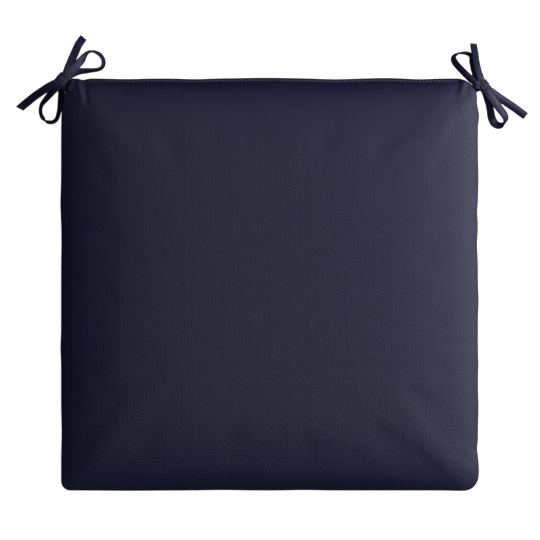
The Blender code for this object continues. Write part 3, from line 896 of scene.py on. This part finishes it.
def sewn_edge(u, v):
    """The seam's line where the cloth square's edge is at (u, v), and how far it puckers there."""
    upright = np.abs(u) >= np.abs(v)
    sign_x, sign_y = np.where(u < 0, -1, 1), np.where(v < 0, -1, 1)
    radius = np.zeros_like(u)
    for (x_sign, y_sign), r in CORNER_RADIUS.items():
        radius[(sign_x == x_sign) & (sign_y == y_sign)] = r
    along = np.where(upright, v * HALF_DEPTH, u * HALF_WIDTH)
    half = np.where(upright, HALF_DEPTH, HALF_WIDTH)
    past = np.clip((np.abs(along) - (half - radius)) / radius, 0, 1)
    turn = past * math.pi / 4
    side_x = HALF_WIDTH - radius * (1 - np.cos(turn))
    side_y = np.where(past > 0, half - radius + radius * np.sin(turn), np.abs(along))
    end_y = HALF_DEPTH - radius * (1 - np.cos(turn))
    x = sign_x * np.where(upright, side_x, side_y)
    y = sign_y * np.where(upright, side_y, end_y)
    out = np.zeros_like(u)
    for side, puckers in EDGE_PUCKERS.items():
        here = upright == (side in ("left", "right"))
        here &= np.where(upright, sign_x, sign_y) == (1 if side in ("right", "back") else -1)
        for centre, reach, height in puckers:
            out += np.where(here, height * bell(along - centre, reach), 0)
    out *= 1 - smooth_step(past)
    before_round = np.maximum(half - radius - np.abs(along), 0)
    at_left_tie = (sign_x < 0) & (sign_y > 0)
    draw = np.where(at_left_tie, LEFT_CORNER_DRAW * np.exp(-before_round / DRAW_REACH), 0)
    round_from_x = np.where(upright, math.pi - turn, math.pi / 2 + turn)
    tip = LEFT_TIP * bell(np.degrees(round_from_x) - LEFT_TIP_MIDDLE, LEFT_TIP_REACH)
    tip = np.where(at_left_tie & (past > 0), tip, 0)
    out_x = np.where(upright, sign_x * out, 0) + draw + tip * np.cos(round_from_x)
    out_y = np.where(upright, 0, sign_y * out) + tip * np.sin(round_from_x)
    return x, y, out_x, out_y


def gather_rise(x, y):
    """How far the gathers that run from the corners stand above the face."""
    rise = np.zeros_like(x)
    for start_x, start_y, end_x, end_y, half_width, height in GATHERS:
        dx, dy = end_x - start_x, end_y - start_y
        share = ((x - start_x) * dx + (y - start_y) * dy) / (dx * dx + dy * dy)
        held = np.clip(share, 0, 1)
        distance = np.hypot(x - start_x - held * dx, y - start_y - held * dy)
        rise += height * bell(distance, half_width) * (1 - GATHER_LOSS * held)
    return rise


def past_lip(share, x, y):
    """The share of the way out, counted from the inner side of the back edge's flat lip."""
    along = smooth_step((LIP_HALF_LENGTH + LIP_FADE - np.abs(x)) / LIP_FADE)
    back = smooth_step((y / HALF_DEPTH - LIP_FADES_FROM) / (LIP_FULL_FROM - LIP_FADES_FROM))
    return np.minimum(1.0, share + along * back * LIP_WIDTH / HALF_DEPTH)


def face_rise(share, x, y):
    """How far the crowned face stands above the seam, at this share of the way out."""
    out = past_lip(share, x, y)
    shoulder = SHOULDER_RISE * (1 - out**SHOULDER_FLATNESS) ** SHOULDER_ROUNDNESS
    corner = (np.abs(x) / HALF_WIDTH * np.abs(y) / HALF_DEPTH) ** CORNER_SHARPNESS
    height = shoulder * (1 - CORNER_DROP * corner) + DOME_RISE * (1 - out * out)
    inward = (1 - share) * HALF_DEPTH
    lip = LIP_RISE * np.minimum(1.0, inward / LIP_WIDTH)
    stitched = (y > HALF_DEPTH - FURROW_BAND) * smooth_step((STITCHES_END - x) / FURROW_END)
    stitched = stitched * smooth_step((x - STITCHES_START) / FURROW_END)
    furrow = FURROW_SINK * bell(inward - STITCH_INSET, FURROW_HALF_WIDTH) * stitched
    fade = smooth_step(inward / GATHER_START)
    return np.maximum(height, lip) + gather_rise(x, y) * fade - furrow


def under_drop(share, x, y):
    """How far the underside hangs below the seam."""
    lift = (past_lip(share, x, y) - share) / np.maximum(1 - share, LEAST)
    level = np.clip((share - FLAT_SHARE) / (1 - FLAT_SHARE), 0, 1) ** UNDER_ROUNDNESS
    level = level + (1 - level) * level * np.clip(lift, 0, 1)
    thin = LIP_HALF_THICKNESS * np.minimum(1.0, (1 - share) * HALF_DEPTH / LIP_HALF_THICKNESS)
    return np.maximum(SEAM_HEIGHT * (1 - level), thin)


def panel(u, v, face, rolled):
    """Where the points (u, v) of the cloth square lie on the face or the underside."""
    ring = np.maximum(np.maximum(np.abs(u), np.abs(v)), LEAST)
    edge_x, edge_y, out_x, out_y = sewn_edge(u / ring, v / ring)
    inward = (1 - ring) * HALF_DEPTH
    depth, rolled_up = inward, np.ones_like(inward)
    if rolled:
        rows = np.array(SEAM_ROLL)
        near = inward < rows[-1, 0]
        depth = np.where(near, np.interp(inward, rows[:, 0], rows[:, 1 if face else 2]), inward)
        rolled_up = np.where(near, np.interp(inward, rows[:, 0], rows[:, 3]), 1)
    share = 1 - depth / HALF_DEPTH
    rounding = smooth_step((1 - share) / ROUNDING_REACH)
    across, deep = np.abs(edge_x) / HALF_WIDTH, np.abs(edge_y) / HALF_DEPTH
    reach = (across**MIDDLE_SQUARENESS + deep**MIDDLE_SQUARENESS) ** (1 / MIDDLE_SQUARENESS)
    drawn = share * (1 - rounding + rounding / np.maximum(reach, 1.0))
    keep = np.maximum(0.0, 1 - (1 - share) / PUCKER_FADE)
    x, y = drawn * edge_x + keep * out_x, drawn * edge_y + keep * out_y
    if not face:
        out = UNDER_BULGE["out"] * bell(y - UNDER_BULGE["place"], UNDER_BULGE["reach"])
        out = out * smooth_step(inward / UNDER_BULGE["start"]) * bell(inward, UNDER_BULGE["depth"])
        x = x + np.where(edge_x >= HALF_WIDTH - LEAST, out, 0)
    held = np.minimum(share, 1 - ROLL_END / HALF_DEPTH) if rolled else share
    rise = face_rise(held, x, y) if face else -under_drop(held, x, y)
    if rolled:
        rise = rise * np.where(inward < ROLL_END, rolled_up, 1)
    return np.stack([x, y, SEAM_HEIGHT + rise], -1)


def even_lines(half):
    """Even lines over the cloth square, from -1 to 1, for the simulation."""
    return np.linspace(-1, 1, 2 * round(half / SIMULATED_LINE) + 1)


def graded_lines(half):
    """Lines over the cloth square, from -1 to 1: close in the seam's roll and beside the edges."""
    near = np.array([row[0] for row in SEAM_ROLL])
    beside = np.arange(near[-1] + EDGE_LINE_SPACING, EDGE_LINES_REACH, EDGE_LINE_SPACING)
    count = round(2 * (half - EDGE_LINES_REACH) / LINE_SPACING)
    inner = np.linspace(EDGE_LINES_REACH, 2 * half - EDGE_LINES_REACH, count + 1)
    low = np.concatenate([near, beside])
    return np.concatenate([low, inner, 2 * half - low[::-1]]) / half - 1


def sewn_shell(columns, rows, rolled):
    """Both panels as one closed shell: places, faces, and the points' numbers on each panel."""
    v, u = np.meshgrid(rows, columns)
    face, under = panel(u, v, True, rolled), panel(u, v, False, rolled)
    n, m = u.shape
    number = np.arange(n * m).reshape(n, m)
    inside = np.zeros((n, m), bool)
    inside[1:-1, 1:-1] = True
    below = np.where(inside, 0, number)
    below[inside] = n * m + np.arange(inside.sum())
    places = np.concatenate([face.reshape(-1, 3), under[inside]])
    quads = np.stack([number[:-1, :-1], number[1:, :-1], number[1:, 1:], number[:-1, 1:]], -1)
    turned = np.stack([below[:-1, :-1], below[:-1, 1:], below[1:, 1:], below[1:, :-1]], -1)
    return places, np.concatenate([quads.reshape(-1, 4), turned.reshape(-1, 4)]), number, below


# The cover is simulated as cloth: how far its seam shrinks and how far in from it, what counts as the
# seam and how firmly it is held, how flat the cloth starts, how long it settles and the most it moves.
SEAM_SHRINK = 0.012
SEAM_REACH = 0.030
AT_SEAM = 0.999
SEAM_HOLD = 0.6
START_FLATNESS = 0.97
SETTLING_FRAMES = 20
MOST_MOVED = 0.0014


def filled(places, faces, held, drawn_up):
    """The shell's places after its filling has pressed it out and its seam has drawn up."""
    data = bpy.data.meshes.new("filling")
    data.from_pydata(places, [], faces)
    shell = bpy.data.objects.new("filling", data)
    bpy.context.scene.collection.objects.link(shell)
    for name, weights in (("held", held), ("drawn_up", drawn_up)):
        group = shell.vertex_groups.new(name=name)
        for level in np.unique(weights[weights > 0]):
            group.add([int(i) for i in np.flatnonzero(weights == level)], float(level), "REPLACE")
    cloth = shell.modifiers.new("cloth", "CLOTH")
    settings = cloth.settings
    settings.quality = 5
    settings.mass = 0.15
    settings.tension_stiffness = 25
    settings.compression_stiffness = 25
    settings.shear_stiffness = 8
    settings.bending_stiffness = 6.0
    settings.use_pressure = True
    settings.uniform_pressure_force = 4
    settings.vertex_group_mass = "held"
    settings.pin_stiffness = 1.0
    settings.vertex_group_shrink = "drawn_up"
    settings.shrink_max = SEAM_SHRINK
    settings.effector_weights.gravity = 0
    cloth.collision_settings.use_collision = False
    for step in range(1, SETTLING_FRAMES + 1):
        bpy.context.scene.frame_set(step)
    bpy.ops.object.select_all(action="DESELECT")
    shell.select_set(True)
    bpy.context.view_layer.objects.active = shell
    bpy.ops.object.modifier_apply(modifier="cloth")
    pressed = np.zeros(len(places) * 3)
    shell.data.vertices.foreach_get("co", pressed)
    bpy.data.objects.remove(shell)
    bpy.context.scene.frame_set(1)
    return pressed.reshape(-1, 3)


def between(lines, finer):
    """Weights that carry values on these lines to the finer ones along a smooth curve."""
    spacing = lines[1] - lines[0]
    at = (finer - lines[0]) / spacing
    start = np.clip(np.floor(at).astype(int), 0, len(lines) - 2)
    t = at - start
    weights = np.zeros((len(finer), len(lines)))
    for offset, share in (
        (-1, -0.5 * t + t**2 - 0.5 * t**3),
        (0, 1 - 2.5 * t**2 + 1.5 * t**3),
        (1, 0.5 * t + 2 * t**2 - 1.5 * t**3),
        (2, -0.5 * t**2 + 0.5 * t**3),
    ):
        line = np.clip(start + offset, 0, len(lines) - 1)
        np.add.at(weights, (np.arange(len(finer)), line), share)
    return weights


coarse_columns = even_lines(HALF_WIDTH)
coarse_rows = even_lines(HALF_DEPTH)
start_places, start_faces, coarse_face, coarse_under = sewn_shell(
    coarse_columns, coarse_rows, False
)
moved_face = np.zeros((len(coarse_columns), len(coarse_rows), 3))
moved_under = np.zeros_like(moved_face)
ring = np.maximum(np.abs(coarse_columns)[:, None], np.abs(coarse_rows)[None, :])
held = np.zeros(len(start_places))
held[coarse_under[ring < FLAT_SHARE]] = 1.0
held[coarse_face[ring >= AT_SEAM]] = SEAM_HOLD
drawn_up = np.zeros(len(start_places))
near_seam = np.round(1 - (1 - ring) * HALF_DEPTH / SEAM_REACH, 1).clip(0, 1)
drawn_up[coarse_under] = near_seam
drawn_up[coarse_face] = near_seam
flatter = start_places.copy()
flatter[:, 2] = SEAM_HEIGHT + (start_places[:, 2] - SEAM_HEIGHT) * START_FLATNESS
moved = filled(flatter, start_faces.tolist(), held, drawn_up) - start_places
far = np.linalg.norm(moved, axis=1, keepdims=True)
moved *= MOST_MOVED / (MOST_MOVED + far)
moved_face, moved_under = moved[coarse_face], moved[coarse_under]

# The finer shell takes on what the simulation moved, except close to the seam and on the floor.
SIDEWAYS_FROM_SEAM = 0.012
UPWARD_FROM_SEAM = 0.004
FLOOR_FADE = 0.04
fine_columns = graded_lines(HALF_WIDTH)
fine_rows = graded_lines(HALF_DEPTH)
places, faces, face_number, under_number = sewn_shell(fine_columns, fine_rows, True)
carry_columns = between(coarse_columns, fine_columns)
carry_rows = between(coarse_rows, fine_rows)
fine_ring = np.maximum(np.abs(fine_columns)[:, None], np.abs(fine_rows)[None, :])
from_seam = (1 - fine_ring) * HALF_DEPTH
sideways = smooth_step(from_seam / SIDEWAYS_FROM_SEAM)[..., None] * [1, 1, 0]
free = sideways + smooth_step(from_seam / UPWARD_FROM_SEAM)[..., None] * [0, 0, 1]
off_floor = smooth_step((fine_ring - FLAT_SHARE) / FLOOR_FADE)[..., None]
for number, moved, share in (
    (under_number, moved_under, free * off_floor),
    (face_number, moved_face, free),
):
    finer = np.einsum("ai,bj,ijk->abk", carry_columns, carry_rows, moved)
    places[number.ravel()] += (finer * share).reshape(-1, 3)

# The cloth's map follows each panel from its middle, so that the weave isn't stretched on the shoulder.
on_cloth = np.zeros((len(places), 2))
for number in (under_number, face_number):
    sheet = places[number]
    middle = sheet[:, len(fine_rows) // 2]
    gone = np.concatenate([[0], np.cumsum(np.linalg.norm(np.diff(middle, axis=0), axis=1))])
    gone -= np.interp(0, fine_columns, gone)
    from_middle = np.maximum(fine_ring * HALF_WIDTH, LEAST)
    stretch = np.interp(fine_ring, fine_columns, gone) / from_middle
    on_cloth[number.ravel()] = (sheet[..., :2] * stretch[..., None]).reshape(-1, 2)
COVER_WRINKLE_MM = 0.25
cover_canvas = canvas("navy_cover_canvas", COVER_WRINKLE_MM)
cover = cloth_mesh(
    "cushion_cover",
    places.tolist(),
    faces.tolist(),
    lambda corners: on_cloth[corners],
    cover_canvas,
)
# The back edge is pressed flat under its topstitching. A strip along it, and a fainter one at the front
# seam's very fold, is painted darker as painted shade and made duller: how wide, how it fades, how
# strong.
BACK_SHADE_STRIP = {"width": 0.0016, "fade": 0.0012, "shade_strength": 1.0}
FRONT_SHADE_STRIP = {"width": 0.0006, "fade": 0.0008, "shade_strength": 0.8}


# A strip of painted shade along an edge, fading inward.
def painted_shade_strip(from_edge, width, fade, shade_strength):
    return shade_strength * (1 - smooth_step((from_edge - width) / fade))


painted_shade_rows = np.maximum(
    painted_shade_strip((1 - fine_rows) * HALF_DEPTH, **BACK_SHADE_STRIP),
    painted_shade_strip((1 + fine_rows) * HALF_DEPTH, **FRONT_SHADE_STRIP),
)
pressed = np.zeros(len(places))
for number in (under_number, face_number):
    pressed[number.ravel()] = np.tile(painted_shade_rows, len(fine_columns))
# The attribute holds these strips of painted shade for the cover's canvas.
cover.data.attributes.new("pressed", "FLOAT", "POINT").data.foreach_set("value", pressed)
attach(cover, "root")
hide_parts("cushion")

# Once the cushion is filled, its back edge is sewn shut through both panels with a straight lockstitch.
# The polyester thread is lighter than the canvas and pulled down into the face.
EDGE_THREAD = (0.0620, 0.0620, 0.0900, 1)
BACK_STITCH_PITCH = 0.0046
BACK_STITCH_LENGTH = 0.0025
ABOVE_CUSHION = 0.2
bpy.context.view_layer.update()
spots = []
x = STITCHES_START + BACK_STITCH_PITCH / 2
while x < STITCHES_END:
    out = sum(h * bell(x - centre, reach) for centre, reach, h in EDGE_PUCKERS["back"])
    above = Vector((x, HALF_DEPTH + out - STITCH_INSET, ABOVE_CUSHION))
    _, place, normal, _ = cover.ray_cast(above, Vector((0, 0, -1)))
    along = Vector((1, 0, 0))
    along = (along - normal * along.dot(normal)).normalized()
    spots.append((place + normal * THREAD_WIDTH * THREAD_RISE, along, normal))
    x += BACK_STITCH_PITCH
edge_thread = thread_paint("navy_edge_thread", EDGE_THREAD)
back_stitches = stitch_row("cushion_back_stitches", BACK_STITCH_LENGTH, spots, edge_thread)
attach(back_stitches, "root")
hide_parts("cushion")

# The cushion lies on a light table. The table glows white of itself and takes little of the light that
# falls on it, so shadows on it stay faint, and the cloth doesn't mirror it.
TABLE_GREY = (0.2, 0.2, 0.2, 1)
TABLE_GLOW = 0.93
bpy.ops.mesh.primitive_plane_add(size=14, location=(0, 0, 0))
table = bpy.context.object
table.name = "table"
table_paint = bpy.data.materials.new("table_paint")
table_paint.use_nodes = True
paint = table_paint.node_tree.nodes["Principled BSDF"]
paint.inputs["Base Color"].default_value = TABLE_GREY
paint.inputs["Roughness"].default_value = 0.9
paint.inputs["Specular IOR Level"].default_value = 0.1
paint.inputs["Emission Color"].default_value = (1, 1, 1, 1)
paint.inputs["Emission Strength"].default_value = TABLE_GLOW
table.data.materials.append(table_paint)
table.visible_glossy = False

# Soft studio light: most of it comes low from the right, with some from above and from the back edge's
# side, so the left side of the cushion falls into shade.
ROOM_LIGHT = 0.01
room = bpy.data.worlds.new("room")
bpy.context.scene.world = room
room.use_nodes = True
walls = room.node_tree.nodes["Background"]
walls.inputs["Color"].default_value = (1, 1, 1, 1)
walls.inputs["Strength"].default_value = ROOM_LIGHT
SOFT_LIGHTS = (
    # name, degrees round from +X, degrees up, distance, size, power
    ("low_right", 0, 10, 2.0, 0.7, 55.0),
    ("near_right", 30, 20, 1.0, 0.5, 10.8),
    ("front_right", -30, 55, 2.0, 1.0, 36.4),
    ("back_right", 30, 55, 2.0, 1.0, 21.0),
    ("back", 90, 55, 2.0, 1.0, 18.0),
    ("overhead", 0, 89, 2.2, 1.6, 17.9),
)
for name, round_from_x, up, distance, size, power in SOFT_LIGHTS:
    round_from_x, up = math.radians(round_from_x), math.radians(up)
    flat = math.cos(up) * distance
    place = Vector(
        (math.cos(round_from_x) * flat, math.sin(round_from_x) * flat, math.sin(up) * distance)
    )
    bpy.ops.object.light_add(type="AREA", location=place)
    light = bpy.context.object
    light.name = name
    light.data.shape = "SQUARE"
    light.data.size = size
    light.data.energy = power
    light.rotation_euler = (-place).to_track_quat("-Z", "Y").to_euler()
    light.visible_camera = False

bpy.context.scene.view_settings.view_transform = "Standard"
bpy.context.scene.view_settings.look = "None"

bpy.context.view_layer.update()
